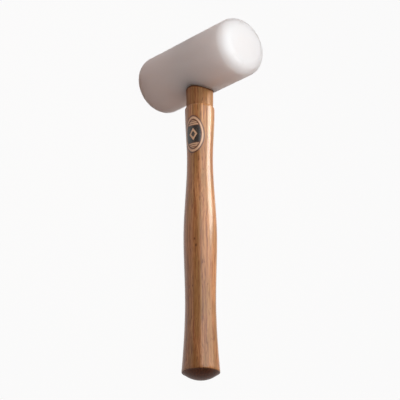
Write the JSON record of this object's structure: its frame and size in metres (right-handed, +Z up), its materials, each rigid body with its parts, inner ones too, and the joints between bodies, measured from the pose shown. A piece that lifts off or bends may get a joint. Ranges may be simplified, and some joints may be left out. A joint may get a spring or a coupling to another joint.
{
  "type": "nylon mallet",
  "caption": "Round white nylon mallet head with rounded striking edges, wedged on a turned wooden handle with a swelled grip and flared butt, for striking work without marking it.",
  "frame": {"origin": "on the surface that the mallet stands on, under the middle of its bounding box", "axes": "+X across the head and handle; +Y along the handle from the butt towards the head; +Z up, near the head's axis, which leans 9.4 degrees back from it"},
  "size_m": [0.05, 0.2992, 0.1156],
  "materials": {
    "nylon": "satin, turned, slightly translucent",
    "varnished_ash": "clear varnish over long straight grain",
    "bare_beech": "sawn, bare",
    "wedge_steel": "hammered on its driven end",
    "label_film": "printed, varnished over"
  },
  "bodies": {
    "root": {"mallet_head": "nylon", "handle": "varnished_ash", "wood_wedge": "bare_beech", "steel_wedge_1": "wedge_steel", "steel_wedge_2": "wedge_steel", "handle_label": "label_film"}
  },
  "joints": []
}
